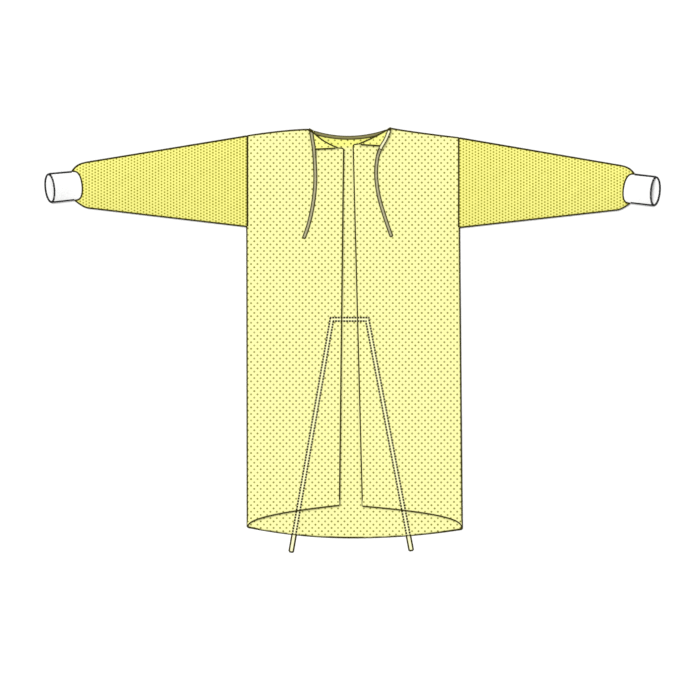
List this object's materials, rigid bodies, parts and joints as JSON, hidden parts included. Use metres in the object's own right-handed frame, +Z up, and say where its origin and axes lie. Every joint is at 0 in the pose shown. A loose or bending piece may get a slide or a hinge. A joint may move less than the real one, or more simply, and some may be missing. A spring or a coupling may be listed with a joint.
{
  "type": "procedure gown",
  "caption": "Long-sleeved procedure gown laid flat, front down: open back with turned-out neck corners, knit cuffs, bound neckline with free ties, and a waist belt under the front.",
  "frame": {"origin": "on the surface the gown lies on, under the middle of its bounding box", "axes": "+Z up from the surface; +Y from the hem to the neck; +X towards the wearer's right sleeve, with the front of the gown underneath and the open back on top"},
  "size_m": [1.7322, 1.194, 0.0114],
  "materials": {
    "body_cloth": "matt pale yellow nonwoven with a sparse staggered dot",
    "sleeve_cloth": "matt deeper yellow nonwoven with a dense dot",
    "rib_knit": "white rib knit",
    "neck_tape": "grey-olive binding tape",
    "belt_cloth": "pale cream nonwoven strip with stitched edges"
  },
  "bodies": {
    "root": {"front_panel": "body_cloth", "back_panel_left": "body_cloth", "back_panel_right": "body_cloth", "sleeve_left": "sleeve_cloth", "sleeve_right": "sleeve_cloth", "cuff_left": "rib_knit", "cuff_right": "rib_knit", "neck_binding": "neck_tape", "neck_tie_left": "neck_tape", "neck_tie_right": "neck_tape", "waist_belt": "belt_cloth"}
  },
  "joints": []
}
